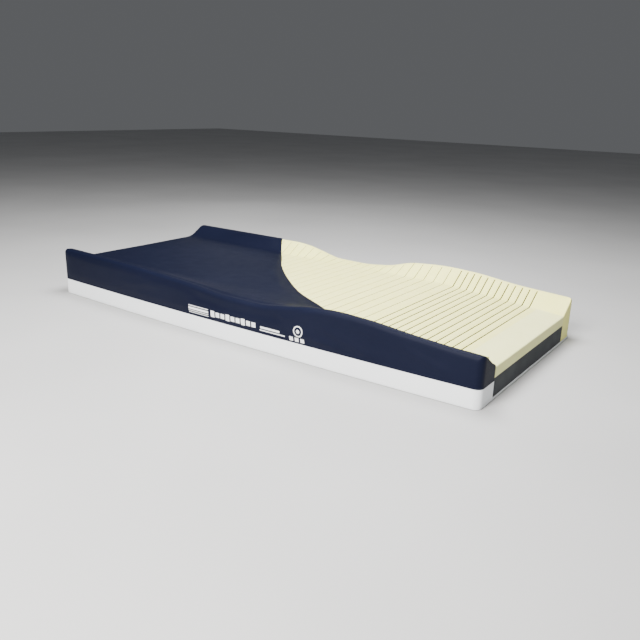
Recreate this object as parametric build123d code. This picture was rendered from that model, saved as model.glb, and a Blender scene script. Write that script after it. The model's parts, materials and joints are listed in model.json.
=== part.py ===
from build123d import *
import math
import os

# Pressure relief mattress with raised sides, for a profiling hospital bed.
# Millimetres. +X runs to the foot end, +Y to the far side, +Z up.
# The origin is under the middle of the mattress, on the surface that it lies on.
# The cover is cut away from the foot and the far side, so that the slit foam shows.

# Overall size, outside the cover
LENGTH = 2032.0
WIDTH = 889.0
CORNER_RADIUS = 24.0

# Layers, from the surface below upwards
FABRIC = 1.5
FABRIC_GAP = 0.5
FOAM_UNDERSIDE = FABRIC + FABRIC_GAP
BASE_FOAM_TOP = 75.0
FLAT_TOP = 152.0
SEAM_HEIGHT = 67.0

# Raised sides: the slope starts at KINK_Y, and the crest has a round of CREST_RADIUS
KINK_Y = 338.0
CREST_RADIUS = 19.0
FOAM_CREST = (
    (-1016.0, 203.0),
    (-310.0, 203.0),
    (-200.0, 182.0),
    (-90.0, 158.0),
    (50.0, 157.0),
    (190.0, 167.0),
    (350.0, 203.0),
    (480.0, 207.0),
    (620.0, 202.0),
    (760.0, 186.0),
    (900.0, 173.0),
    (1016.0, 167.0),
)
# The covered near side: the same crest, with the cover stretched across its low part
COVERED_CREST = (
    (-1016.0, 203.0),
    (-310.0, 203.0),
    (-200.0, 189.0),
    (-90.0, 177.0),
    (50.0, 170.0),
    (190.0, 174.0),
    (350.0, 203.0),
) + FOAM_CREST[7:]

# Heel end: the lying surface slopes down to HEEL_END_TOP, and the last stretch is a plain pad
HEEL_SLOPE_START = 500.0
HEEL_END_TOP = 111.0
HEEL_PAD_START = 908.0

# Saw cuts across the slit foam
SLIT_WIDTH = 1.6
SLIT_DEPTH = 28.0
SLIT_END_Y = 412.0
COARSE_PITCH = 46.0
FINE_PITCH = 30.0
FINE_START = 548.0
COARSE_COUNT = 32
FIRST_SLIT = FINE_START - COARSE_COUNT * COARSE_PITCH

# Fold lines of the bed, and half of the gap between two sections
BACK_FOLD = -75.0
THIGH_FOLD = 165.0
KNEE_FOLD = 480.0
HALF_FOLD_GAP = 0.2

# Edge of the cut-away in plan: from the far side to the near crest, then along it to the foot
CUT_EDGE = (
    (-460.0, 470.0),
    (-400.0, 370.0),
    (-200.0, 125.0),
    (0.0, -70.0),
    (150.0, -190.0),
    (300.0, -275.0),
    (440.0, -360.0),
)
CUT_CREST_Y = -424.0
CUT_CREST_START = 540.0
CUT_FAR_X = -447.0
FOOT_CUT_Y = -342.0

# Zip on the far side, where the top cover meets the bottom cover
ZIP_START = -962.0
ZIP_END = -452.0
ZIP_GAP = 1.0
COIL_HEIGHT = 1.6
COIL_DEPTH = 1.6
TAPE_HEIGHT = 15.0
TAPE_DEPTH = 0.8
SLIDER_LENGTH = 16.0
SLIDER_HEIGHT = 10.0
SLIDER_PARK = -946.0
SLIDER_ROUND = 3.0
SLIDER_GAP = 0.3
PLATE_DEPTH = 1.4
INNER_PLATE_DEPTH = 0.5
INNER_PLATE_INSET = 2.0
POST_INSET = 4.0
POST_GAP = 0.15
STOP_LENGTH = 4.0
STOP_DEPTH = 1.0
BAIL_RADIUS = 1.0
BAIL_LENGTH = 7.0
BAIL_STAND = 3.2
PULL_LENGTH = 34.0
PULL_WIDTH = 8.0
PULL_DEPTH = 1.6
PULL_CLEARANCE = 0.08
PULL_ROUND = 2.5
KNUCKLE_WALL = 1.0
KNUCKLE_PLAY = 0.6
BLADE_INSET = 0.9

# Derived sizes
HALF_LENGTH = LENGTH / 2
HALF_WIDTH = WIDTH / 2
COVER_OUTSIDE = FOAM_UNDERSIDE
COVER_INSIDE = FABRIC_GAP
TALL = 400.0

# How far a cutting shape reaches past what it cuts, and how far joined blocks run into each other
PAST = 2.0
BITE = 0.1


def interpolate(line, x):
    """Height of a line of (x, height) points at x."""
    for (x0, z0), (x1, z1) in zip(line, line[1:]):
        if x <= x1:
            return z0 + (z1 - z0) * (x - x0) / (x1 - x0)
    return line[-1][1]


def flat_height(x):
    """Top of the foam between the raised sides."""
    slope = (FLAT_TOP - HEEL_END_TOP) / (HALF_LENGTH - HEEL_SLOPE_START)
    return FLAT_TOP - slope * max(0.0, x - HEEL_SLOPE_START)


def crest_tangent(kink, centre, radius):
    """Point where the slope from the kink runs into the round of the crest."""
    dy, dz = centre[0] - kink[0], centre[1] - kink[1]
    distance = math.hypot(dy, dz)
    angle = math.atan2(dz, dy) + math.asin(radius / distance)
    along = math.sqrt(distance**2 - radius**2)
    return kink[0] + along * math.cos(angle), kink[1] + along * math.sin(angle)


def raised_side(x, clearance, crest_line):
    """Points of one raised side at x: slope foot, slope top, middle of the crest's round, its end."""
    radius = CREST_RADIUS + clearance
    kink = (KINK_Y, flat_height(x) + clearance)
    centre = (HALF_WIDTH - COVER_OUTSIDE - CREST_RADIUS, interpolate(crest_line, x) - CREST_RADIUS)
    tangent = crest_tangent(kink, centre, radius)
    turn = math.atan2(tangent[1] - centre[1], tangent[0] - centre[0]) / 2
    middle = (centre[0] + radius * math.cos(turn), centre[1] + radius * math.sin(turn))
    return kink, tangent, middle, (centre[0] + radius, centre[1])


def outline(x, clearance, near_crest):
    """Cross-section of the mattress at x, grown by a clearance around the foam."""
    half = HALF_WIDTH - COVER_OUTSIDE + clearance
    floor = FOAM_UNDERSIDE - clearance
    far = [Vector(x, y, z) for y, z in raised_side(x, clearance, FOAM_CREST)]
    near = [Vector(x, -y, z) for y, z in raised_side(x, clearance, near_crest)]
    edges = [
        Line(Vector(x, -half, floor), Vector(x, half, floor)),
        Line(Vector(x, half, floor), far[3]),
        ThreePointArc(far[3], far[2], far[1]),
        Line(far[1], far[0]),
        Line(far[0], near[0]),
        Line(near[0], near[1]),
        ThreePointArc(near[1], near[2], near[3]),
        Line(near[3], Vector(x, -half, floor)),
    ]
    return Face(Wire(edges))


def slab(x0, x1, y0, y1, z0, z1):
    """Box between two corners."""
    centre = ((x0 + x1) / 2, (y0 + y1) / 2, (z0 + z1) / 2)
    return Pos(*centre) * Box(x1 - x0, y1 - y0, z1 - z0)


def envelope(clearance, near_crest):
    """The whole foam block, grown by a clearance, with rounded corners in plan."""
    stations = sorted({x for x, _ in FOAM_CREST} | {HEEL_SLOPE_START})
    stations[0], stations[-1] = -HALF_LENGTH - PAST, HALF_LENGTH + PAST
    block = loft([outline(x, clearance, near_crest) for x in stations], ruled=True)
    inset = COVER_OUTSIDE - clearance
    plan = RectangleRounded(LENGTH - 2 * inset, WIDTH - 2 * inset, CORNER_RADIUS - inset)
    return block & extrude(plan, amount=TALL)


def slit_positions():
    """Where the saw cuts lie along the mattress."""
    coarse = [FIRST_SLIT + i * COARSE_PITCH for i in range(COARSE_COUNT)]
    fine_count = int((HEEL_PAD_START - FINE_START) / FINE_PITCH) + 1
    return coarse + [FINE_START + i * FINE_PITCH for i in range(fine_count)]


def slit_cutter(x):
    """One saw cut: it follows the lying surface and runs out below the crest."""
    flat, crest = flat_height(x), interpolate(FOAM_CREST, x)
    rise = (crest - flat) * (SLIT_END_Y - KINK_Y) / (HALF_WIDTH - CREST_RADIUS - KINK_Y)
    corners = [
        (-SLIT_END_Y, flat + rise + PAST),
        (-KINK_Y, flat - SLIT_DEPTH),
        (KINK_Y, flat - SLIT_DEPTH),
        (SLIT_END_Y, flat + rise + PAST),
        (SLIT_END_Y, TALL),
        (-SLIT_END_Y, TALL),
    ]
    face = Face(Wire.make_polygon([Vector(x, y, z) for y, z in corners]))
    return Pos(-SLIT_WIDTH / 2, 0, 0) * extrude(face, amount=SLIT_WIDTH, dir=(1, 0, 0))


def section_spans():
    """Start and end of each folding section along the mattress."""
    return {
        "back": (-HALF_LENGTH - PAST, BACK_FOLD - HALF_FOLD_GAP),
        "seat": (BACK_FOLD + HALF_FOLD_GAP, THIGH_FOLD - HALF_FOLD_GAP),
        "thigh": (THIGH_FOLD + HALF_FOLD_GAP, KNEE_FOLD - HALF_FOLD_GAP),
        "calf": (KNEE_FOLD + HALF_FOLD_GAP, HALF_LENGTH + PAST),
    }


def foam_pieces(foam, name, start, end):
    """Base layer, slit core and both side bolsters of one section."""
    inside = [x for x in slit_positions() if start < x - SLIT_WIDTH and x + SLIT_WIDTH < end]
    slits = [slit_cutter(x) for x in inside]
    core_end = min(end, HEEL_PAD_START)
    pieces = {
        f"base_foam_{name}": foam & slab(start, end, -KINK_Y, KINK_Y, 0, BASE_FOAM_TOP),
        f"slit_foam_{name}": foam & slab(start, core_end, -KINK_Y, KINK_Y, BASE_FOAM_TOP, TALL),
        f"near_bolster_{name}": foam & slab(start, end, -WIDTH, -KINK_Y, 0, TALL),
        f"far_bolster_{name}": foam & slab(start, end, KINK_Y, WIDTH, 0, TALL),
    }
    for piece in list(pieces)[1:]:
        pieces[piece] = pieces[piece] - slits
    if end > HEEL_PAD_START:
        pieces["heel_pad"] = foam & slab(HEEL_PAD_START, end, -KINK_Y, KINK_Y, BASE_FOAM_TOP, TALL)
    return pieces


def cut_away_region():
    """Space that the cut-away takes out of the cover, from above, the far side and the foot end."""
    far = CUT_EDGE[0][1]
    border = [
        Spline(*CUT_EDGE, (CUT_CREST_START, CUT_CREST_Y)),
        Polyline((CUT_CREST_START, CUT_CREST_Y), (LENGTH, CUT_CREST_Y), (LENGTH, far), CUT_EDGE[0]),
    ]
    inside = RectangleRounded(LENGTH - 2 * FABRIC, WIDTH - 2 * FABRIC, CORNER_RADIUS - FABRIC)
    from_above = extrude(make_face(border) & inside, amount=TALL)
    far_side = slab(CUT_FAR_X, LENGTH, HALF_WIDTH - 2 * FABRIC, WIDTH, 0, TALL)
    foot_end = slab(HALF_LENGTH - CORNER_RADIUS, LENGTH, FOOT_CUT_Y, WIDTH, 0, TALL)
    return Pos(0, 0, FABRIC) * (from_above + far_side + foot_end)


def cover_pieces(shell, cut_away, name, start, end):
    """Top cover and bottom cover of one section, without what is cut away."""
    kept = (shell & slab(start, end, -WIDTH, WIDTH, -1, TALL)) - cut_away
    top = kept & slab(start, end, -WIDTH, WIDTH, SEAM_HEIGHT, TALL)
    bottom = kept & slab(start, end, -WIDTH, WIDTH, -1, SEAM_HEIGHT)
    if name == "back":
        half_slot = ZIP_GAP / 2 + COIL_HEIGHT
        low, high = SEAM_HEIGHT - half_slot, SEAM_HEIGHT + half_slot
        slot = slab(ZIP_START, 0, HALF_WIDTH - 2 * FABRIC, WIDTH, low, high)
        top, bottom = top - slot, bottom - slot
    return {f"top_cover_{name}": top, f"bottom_cover_{name}": bottom}


def zip_pieces():
    """Two coils on two tapes, a stop, and the slider with its pull tab."""
    wall = HALF_WIDTH
    tape_face = wall + TAPE_DEPTH
    coil_back = tape_face - COIL_DEPTH
    pieces = {}
    for row, side in (("upper", 1), ("lower", -1)):
        edge = SEAM_HEIGHT + side * ZIP_GAP / 2
        coil_end = edge + side * COIL_HEIGHT
        tape_end = coil_end + side * TAPE_HEIGHT
        low, high = sorted((edge, coil_end))
        pieces[f"zip_{row}_coil"] = slab(ZIP_START, ZIP_END, coil_back, tape_face, low, high)
        low, high = sorted((coil_end, tape_end))
        pieces[f"zip_{row}_tape"] = slab(ZIP_START, ZIP_END, wall, tape_face, low, high)
    half = ZIP_GAP / 2 + COIL_HEIGHT + STOP_DEPTH
    start, low, high = ZIP_START - STOP_DEPTH, SEAM_HEIGHT - half, SEAM_HEIGHT + half
    pieces["zip_stop"] = slab(start, start + STOP_LENGTH, tape_face, tape_face + STOP_DEPTH, low, high)
    pieces["zip_slider"] = zip_slider(coil_back, tape_face)
    pieces["zip_pull"] = zip_pull(tape_face)
    return pieces


def bail_centre(tape_face):
    """Middle of the bar that the pull tab hangs from."""
    plate_face = tape_face + SLIDER_GAP + PLATE_DEPTH
    return SLIDER_PARK, plate_face + BAIL_STAND - BAIL_RADIUS, SEAM_HEIGHT


def zip_slider(coil_back, tape_face):
    """Outer plate in front of the coils, inner plate behind, joined by a post in their gap."""
    half = SLIDER_LENGTH / 2
    low, high = SLIDER_PARK - half, SLIDER_PARK + half
    tall = SLIDER_HEIGHT / 2
    plate = tape_face + SLIDER_GAP
    outer = slab(low, high, plate, plate + PLATE_DEPTH, SEAM_HEIGHT - tall, SEAM_HEIGHT + tall)
    outer = fillet(outer.edges().filter_by(Axis.Y), SLIDER_ROUND)
    tall = ZIP_GAP / 2 + COIL_HEIGHT - 4 * BITE
    back = coil_back - SLIDER_GAP - INNER_PLATE_DEPTH
    inner = slab(low + INNER_PLATE_INSET, high - INNER_PLATE_INSET, back, back + INNER_PLATE_DEPTH,
                 SEAM_HEIGHT - tall, SEAM_HEIGHT + tall)
    tall = ZIP_GAP / 2 - POST_GAP
    post = slab(low + POST_INSET, high - POST_INSET, back + INNER_PLATE_DEPTH - BITE, plate + BITE,
                SEAM_HEIGHT - tall, SEAM_HEIGHT + tall)
    x, y, z = bail_centre(tape_face)
    bar = Pos(x, y, z) * Rot(0, 90, 0) * Cylinder(BAIL_RADIUS, BAIL_LENGTH + 4 * BAIL_RADIUS)
    legs = [
        slab(x + side * (BAIL_LENGTH / 2 + BAIL_RADIUS) - BAIL_RADIUS,
             x + side * (BAIL_LENGTH / 2 + BAIL_RADIUS) + BAIL_RADIUS,
             plate + PLATE_DEPTH / 2, y, z - BAIL_RADIUS, z + BAIL_RADIUS)
        for side in (-1, 1)
    ]
    return outer + inner + post + bar + legs


def zip_pull(tape_face):
    """Flat tab with a round eye over the bail, hanging straight down."""
    x, y, z = bail_centre(tape_face)
    eye = BAIL_RADIUS + PULL_CLEARANCE
    knuckle = Pos(x, y, z) * Rot(0, 90, 0) * Cylinder(eye + KNUCKLE_WALL, BAIL_LENGTH - KNUCKLE_PLAY)
    half = PULL_WIDTH / 2 - BLADE_INSET
    blade = slab(x - half, x + half, y - PULL_DEPTH / 2, y + PULL_DEPTH / 2, z - PULL_LENGTH, z - eye)
    blade = fillet(blade.edges().filter_by(Axis.Y).sort_by(Axis.Z)[:2], PULL_ROUND)
    return knuckle + blade - Pos(x, y, z) * Rot(0, 90, 0) * Cylinder(eye, PULL_WIDTH * 2)


foam = envelope(0, FOAM_CREST)
shell = envelope(COVER_OUTSIDE, COVERED_CREST) - envelope(COVER_INSIDE, COVERED_CREST)
cut_away = cut_away_region()

parts = zip_pieces()
for name, (start, end) in section_spans().items():
    parts.update(foam_pieces(foam, name, start, end))
    parts.update(cover_pieces(shell, cut_away, name, start, end))

os.makedirs("parts", exist_ok=True)
for node, shape in parts.items():
    export_step(Compound(shape.solids()), f"parts/{node}.step")
    print(node, len(shape.solids()), round(shape.volume))
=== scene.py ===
import json
import math
from functools import partial

import bmesh
import bpy
import numpy as np
from mathutils import Matrix, Vector


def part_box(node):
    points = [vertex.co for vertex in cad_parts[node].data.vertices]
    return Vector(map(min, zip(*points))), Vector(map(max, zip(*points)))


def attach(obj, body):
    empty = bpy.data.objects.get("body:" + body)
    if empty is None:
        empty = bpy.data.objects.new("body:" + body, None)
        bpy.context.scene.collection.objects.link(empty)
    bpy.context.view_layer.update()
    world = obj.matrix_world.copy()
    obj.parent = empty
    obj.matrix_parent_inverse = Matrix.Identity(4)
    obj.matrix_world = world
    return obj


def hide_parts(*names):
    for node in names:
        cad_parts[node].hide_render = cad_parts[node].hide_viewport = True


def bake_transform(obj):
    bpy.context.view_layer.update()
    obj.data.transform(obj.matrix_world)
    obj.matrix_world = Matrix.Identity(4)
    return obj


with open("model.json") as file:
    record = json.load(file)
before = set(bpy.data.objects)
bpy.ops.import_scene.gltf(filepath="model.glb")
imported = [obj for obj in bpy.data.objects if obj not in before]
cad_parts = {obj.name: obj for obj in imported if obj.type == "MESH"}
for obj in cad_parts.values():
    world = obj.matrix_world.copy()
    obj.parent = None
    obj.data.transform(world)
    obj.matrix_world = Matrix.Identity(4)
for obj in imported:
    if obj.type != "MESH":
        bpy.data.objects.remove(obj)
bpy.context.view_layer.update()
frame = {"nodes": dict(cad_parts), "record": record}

# ---------------------------------------------------------------- sizes from the frame
JOINTS = {joint["name"]: joint for joint in frame["record"]["behaviour"]["joints"]}
BACK_FOLD, THIGH_FOLD, KNEE_FOLD = (
    JOINTS[name]["pos_m"][0] for name in ("back_raise", "thigh_raise", "knee_bend")
)
HALF_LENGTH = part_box("bottom_cover_calf")[1].x
HALF_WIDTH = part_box("bottom_cover_seat")[1].y
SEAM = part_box("bottom_cover_seat")[1].z
KINK_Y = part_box("slit_foam_seat")[1].y
FLAT_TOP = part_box("slit_foam_seat")[1].z
BASE_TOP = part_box("base_foam_seat")[1].z
FOAM_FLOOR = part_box("base_foam_seat")[0].z
HEEL_PAD_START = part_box("heel_pad")[0].x
COVER_LIFT = FOAM_FLOOR

# Where the soft pieces part, in the seat and in the thigh section, clear of the folds
FOLD_SEAT = 0.042
FOLD_THIGH = 0.318

# ---------------------------------------------------------------- shape of the foam
CREST_Y = 0.4255
SLOPE_END_Y = CREST_Y - 0.004
CORNER_RADIUS = 0.024
CREST_ROUND = 0.019
KINK_SOFT = 0.004
CREST_SOFT = 0.010
HEEL_SOFT = 0.006
FOOT_EDGE_ROUND = 0.004
HEEL_SLOPE_START = 0.5
HEEL_END_TOP = 0.111
SIDE_BOW = 0.022
BOW_START_Y = 0.26
BOW_FULL_Y = 0.44
# Height of the raised sides along the mattress: ends, notch, peak and points on the slopes
FAR_CREST = (
    (-1.016, 0.203), (-0.35, 0.203), (-0.27, 0.197), (-0.20, 0.183), (-0.08, 0.159), (0.05, 0.157),
    (0.18, 0.168), (0.32, 0.199), (0.48, 0.208), (0.60, 0.203), (0.80, 0.181), (1.016, 0.167),
)
NEAR_CREST = (
    (-1.016, 0.202), (-0.65, 0.201), (-0.20, 0.186), (0.03, 0.170), (0.15, 0.170), (0.28, 0.184),
    (0.38, 0.200), (0.50, 0.207), (0.60, 0.204), (0.80, 0.185), (1.016, 0.168),
)

# Saw cuts: a coarse pitch under the back, a fine one under the legs, wider towards the foot.
# Their lips drop a little, and the foam between two cuts is crowned by CROWN.
SLIT_DEPTH = 0.028
SLIT_END_Y = 0.414
COARSE_PITCH = 0.046
FINE_PITCH = 0.030
FINE_START = 0.548
COARSE_COUNT = 32
BACK_SLIT = 0.0016
LEG_SLIT = 0.0024
LEG_SLIT_START = 0.3
FINE_SLIT = 0.0042
LIP_DROP = 0.0006
LIP_REACH = 0.0012
CROWN = 0.0007
STATION_STEP = 0.011

# Cut-away edge of the cover in plan, from the far side to the near crest and along it
CUT_EDGE = (
    (-0.47, 0.47), (-0.40, 0.37), (-0.30, 0.25), (-0.20, 0.125), (0.00, -0.07), (0.15, -0.19),
    (0.30, -0.275), (0.40, -0.33), (0.50, -0.41), (0.56, -0.427), (0.93, -0.429), (0.97, -0.42),
    (1.02, -0.36),
)
CUT_FAR_X = -0.445
FOOT_CUT_Y = -0.342

# Covers: thickness, mesh step, rounded edges, and how far the top cover stands off the foam
FABRIC = 0.0018
BOTTOM_FABRIC = 0.0015
SHEET_STEP = 0.010
FOOT_ROUND = 0.006
HEAD_ROUND = 0.028
HEM_ROUND = 0.004
COVER_EASE = 0.0015
COVER_KINK_SOFT = 0.022
SEAM_GAP = 0.0005
GRID_INSET = CORNER_RADIUS + 0.003
# What is left of the bottom cover's border where it is cut away
FAR_LIP = 0.010
# Depth of the band that counts as the near wall
WALL_BAND = 0.012
# Height of a point inside the block, from which a finished sheet's faces look away
SHEET_CORE = 0.08
# Cloth simulation of the top cover: cap on its outward movement, and its pressure
PUFF_CAP = 0.004
PUFF_PRESSURE = 1.5


def smooth_line(points, x):
    """Smooth line without overshoot through (x, value) points."""
    px, pv = np.array(points, float).T
    step = np.diff(px)
    slope = np.diff(pv) / step
    tangent = np.zeros(len(px))
    same = slope[:-1] * slope[1:] > 0
    mean = 2 * slope[:-1] * slope[1:] / np.where(same, slope[:-1] + slope[1:], 1)
    tangent[1:-1] = np.where(same, mean, 0)
    tangent[0], tangent[-1] = slope[0], slope[-1]
    x = np.clip(x, px[0], px[-1])
    i = np.clip(np.searchsorted(px, x) - 1, 0, len(step) - 1)
    t = (x - px[i]) / step[i]
    h = step[i]
    return (
        (1 + 2 * t) * (1 - t) ** 2 * pv[i] + t * (1 - t) ** 2 * h * tangent[i]
        + t * t * (3 - 2 * t) * pv[i + 1] + t * t * (t - 1) * h * tangent[i + 1]
    )


def soft_min(a, b, size):
    """The smaller of two heights, with a rounded change between them."""
    h = np.clip(0.5 + 0.5 * (b - a) / size, 0, 1)
    return b * (1 - h) + a * h - size * h * (1 - h)


def soft_max(a, b, size):
    return -soft_min(-a, -b, size)


def smooth_step(x, start, end):
    t = np.clip((x - start) / (end - start), 0, 1)
    return t * t * (3 - 2 * t)


def flat_height(x):
    """Lying surface between the raised sides: level, then sloping down under the heels."""
    slope = (FLAT_TOP - HEEL_END_TOP) / (HALF_LENGTH - HEEL_SLOPE_START)
    return FLAT_TOP + soft_min(np.zeros_like(x), -slope * (x - HEEL_SLOPE_START), HEEL_SOFT)


def crest_height(x, y):
    return np.where(y > 0, smooth_line(FAR_CREST, x), smooth_line(NEAR_CREST, x))


def top_height(x, y, kink_soft, crest_soft):
    """Upper surface of the foam, with soft changes of slope where asked."""
    flat, crest = flat_height(x), crest_height(x, y)
    rise = (crest - flat) / (SLOPE_END_Y - KINK_Y)
    side = flat + rise * (np.abs(y) - KINK_Y)
    return soft_min(soft_max(flat, side, kink_soft), crest, crest_soft)


def cover_height(x, y):
    """Upper surface of the top cover: clear of the foam, and bridging the foot of its slopes."""
    return top_height(x, y, COVER_KINK_SOFT, CREST_SOFT) + COVER_LIFT + COVER_EASE


def edge_drop(distance, radius):
    """How far a rounded top edge has fallen at a distance inside the wall."""
    inside = np.clip(radius - distance, 0, radius)
    return radius - np.sqrt(radius**2 - inside**2)


def corner_pull(x, inset=0.0):
    """How far the rounded corners pull the side walls in at x."""
    radius = CORNER_RADIUS - inset
    past = np.clip(np.abs(x) - (HALF_LENGTH - inset - radius), 0, radius)
    return radius - np.sqrt(radius**2 - past**2)


def bow_out(points):
    """The near side bulges outwards along its length."""
    x, y = points[:, 0], points[:, 1]
    amount = SIDE_BOW * (1 - (x / HALF_LENGTH) ** 2)
    points[:, 1] -= amount * smooth_step(-y, BOW_START_Y, BOW_FULL_Y)
    return points


# ---------------------------------------------------------------- meshes
def link(name, vertices, faces, material):
    mesh = bpy.data.meshes.new(name)
    mesh.from_pydata([tuple(v) for v in vertices], [], faces)
    obj = bpy.data.objects.new(name, mesh)
    bpy.context.scene.collection.objects.link(obj)
    mesh.materials.append(material)
    return obj


def clean(obj, merge=0.00002, sharp=35):
    """Merge doubled points, drop faces with no area, and set which edges are sharp."""
    mesh = bmesh.new()
    mesh.from_mesh(obj.data)
    bmesh.ops.remove_doubles(mesh, verts=mesh.verts, dist=merge)
    bmesh.ops.dissolve_degenerate(mesh, dist=merge, edges=mesh.edges)
    bmesh.ops.recalc_face_normals(mesh, faces=mesh.faces)
    mesh.to_mesh(obj.data)
    mesh.free()
    obj.data.shade_smooth()
    obj.data.set_sharp_from_angle(angle=math.radians(sharp))
    return obj


def remember_rest(obj):
    """Keep each point's place, which the materials use so that they don't slide in a pose."""
    count = len(obj.data.vertices)
    place = np.empty(count * 3, np.float32)
    obj.data.vertices.foreach_get("co", place)
    attribute = obj.data.attributes.new("rest", "FLOAT_VECTOR", "POINT")
    attribute.data.foreach_set("vector", place)


def apply_modifiers(obj):
    mesh = bpy.data.meshes.new_from_object(obj.evaluated_get(bpy.context.evaluated_depsgraph_get()))
    old = obj.data
    obj.modifiers.clear()
    obj.data = mesh
    bpy.data.meshes.remove(old)


# For each part along the mattress: the bodies it joins, its start and end, its fold, and how far
# the bend reaches to each side of the fold
SPANS = {
    "back": ("back_section", "seat_section", -HALF_LENGTH, FOLD_SEAT, BACK_FOLD, 0.115),
    "middle": ("seat_section", "thigh_section", FOLD_SEAT, FOLD_THIGH, THIGH_FOLD, 0.115),
    "foot": ("thigh_section", "calf_section", FOLD_THIGH, HALF_LENGTH, KNEE_FOLD, 0.150),
}
PARTS = tuple(SPANS)
SECTIONS = {"back": ("back", "seat"), "middle": ("seat", "thigh"), "foot": ("thigh", "calf")}


def settle(obj, part, node_stem, slot):
    """Keep a finished part's rest places, fix its placement, and hide the frame parts of its two sections."""
    first, second, _, _, fold, reach = SPANS[part]
    remember_rest(obj)
    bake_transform(obj)
    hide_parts(*(f"{node_stem}_{section}" for section in SECTIONS[part]))


# ---------------------------------------------------------------- materials
def new_material(name, base, roughness, specular):
    material = bpy.data.materials.new(name)
    material.use_nodes = True
    tree = material.node_tree
    shader = tree.nodes["Principled BSDF"]
    shader.inputs["Base Color"].default_value = (*base, 1)
    shader.inputs["Roughness"].default_value = roughness
    shader.inputs["Specular IOR Level"].default_value = specular
    place = tree.nodes.new("ShaderNodeAttribute")
    place.attribute_name = "rest"
    return material, tree, shader, place.outputs["Vector"]


def node(tree, kind, **values):
    made = tree.nodes.new(kind)
    for key, value in values.items():
        if key in made.inputs:
            made.inputs[key].default_value = value
        else:
            setattr(made, key, value)
    return made


def noise_texture(tree, place, scale, detail=3.0, stretch=(1, 1, 1)):
    mapping = node(tree, "ShaderNodeMapping")
    mapping.inputs["Scale"].default_value = stretch
    tree.links.new(place, mapping.inputs["Vector"])
    made = node(tree, "ShaderNodeTexNoise", Scale=scale, Detail=detail)
    tree.links.new(mapping.outputs["Vector"], made.inputs["Vector"])
    return made.outputs["Fac"]


def colour_ramp(tree, factor, stops):
    ramp = tree.nodes.new("ShaderNodeValToRGB")
    elements = ramp.color_ramp.elements
    while len(elements) < len(stops):
        elements.new(0.5)
    for element, (position, colour) in zip(elements, stops):
        element.position = position
        element.color = (*colour, 1)
    tree.links.new(factor, ramp.inputs["Fac"])
    return ramp.outputs["Color"]


def mix(tree, factor, a, b, blend="MIX"):
    made = tree.nodes.new("ShaderNodeMix")
    made.data_type = "RGBA"
    made.blend_type = blend
    for socket, value in ((made.inputs["Factor"], factor), (made.inputs["A"], a), (made.inputs["B"], b)):
        if hasattr(value, "links"):
            tree.links.new(value, socket)
        else:
            socket.default_value = value if isinstance(value, float) else (*value, 1)
    return made.outputs["Result"]


def math_node(tree, operation, a, b=None, clamp=False):
    made = node(tree, "ShaderNodeMath", operation=operation, use_clamp=clamp)
    for socket, value in zip(made.inputs, (a, b)):
        if value is None:
            continue
        if hasattr(value, "links"):
            tree.links.new(value, socket)
        else:
            socket.default_value = value
    return made.outputs["Value"]


def bump(tree, shader, height, strength, distance, previous=None):
    made = node(tree, "ShaderNodeBump", Strength=strength, Distance=distance)
    tree.links.new(height, made.inputs["Height"])
    if previous is not None:
        tree.links.new(previous, made.inputs["Normal"])
    tree.links.new(made.outputs["Normal"], shader.inputs["Normal"])
    return made.outputs["Normal"]


def weave(tree, place, pitch):
    """Height of a fine plain knit: fine ribs both ways."""
    split = tree.nodes.new("ShaderNodeSeparateXYZ")
    tree.links.new(place, split.inputs["Vector"])
    turn = 2 * math.pi / pitch
    along = math_node(tree, "SINE", math_node(tree, "MULTIPLY", split.outputs["X"], turn))
    across = math_node(tree, "ADD", split.outputs["Y"], split.outputs["Z"])
    across = math_node(tree, "SINE", math_node(tree, "MULTIPLY", across, turn))
    return math_node(tree, "MULTIPLY", along, across)


def tint_by_noise(tree, shader, place, scale, dark, light):
    """Mottle a plain colour between two tints."""
    colour = colour_ramp(tree, noise_texture(tree, place, scale), ((0.3, dark), (0.7, light)))
    tree.links.new(colour, shader.inputs["Base Color"])


def foam_material(name, light, dark, pore_scale=420.0):
    """Open-cell foam: matte, faintly mottled, with fine pores darkened as painted shade, and painted shade
    down its saw cuts.
    """
    material, tree, shader, place = new_material(name, light, 0.95, 0.15)
    mottle = noise_texture(tree, place, 14.0, 5.0)
    colour = colour_ramp(tree, mottle, ((0.3, dark), (0.62, light)))
    pores = node(tree, "ShaderNodeTexVoronoi", Scale=pore_scale)
    tree.links.new(place, pores.inputs["Vector"])
    # Painted shade in the pores: each pore is darkened towards its middle
    painted_pore_shade = colour_ramp(tree, pores.outputs["Distance"], ((0.0, (0.80, 0.80, 0.78)), (0.35, (1, 1, 1))))
    colour = mix(tree, 0.5, colour, painted_pore_shade, "MULTIPLY")
    # Painted shade in the saw cuts: the colour darkens with depth, to brown and then near black
    sunk = node(tree, "ShaderNodeAttribute", attribute_name="sunk").outputs["Fac"]
    painted_slit_shade = colour_ramp(
        tree, sunk, ((0.0, (1, 1, 1)), (0.008, (0.30, 0.23, 0.13)), (0.05, (0.05, 0.04, 0.02)))
    )
    colour = mix(tree, 1.0, colour, painted_slit_shade, "MULTIPLY")
    tree.links.new(colour, shader.inputs["Base Color"])
    shader.inputs["Subsurface Weight"].default_value = 0.04
    shader.inputs["Subsurface Radius"].default_value = (1.0, 0.85, 0.55)
    shader.inputs["Subsurface Scale"].default_value = 0.006
    rough = bump(tree, shader, pores.outputs["Distance"], 0.35, 0.0006)
    bump(tree, shader, noise_texture(tree, place, 60.0, 4.0), 0.12, 0.002, rough)
    return material


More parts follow.
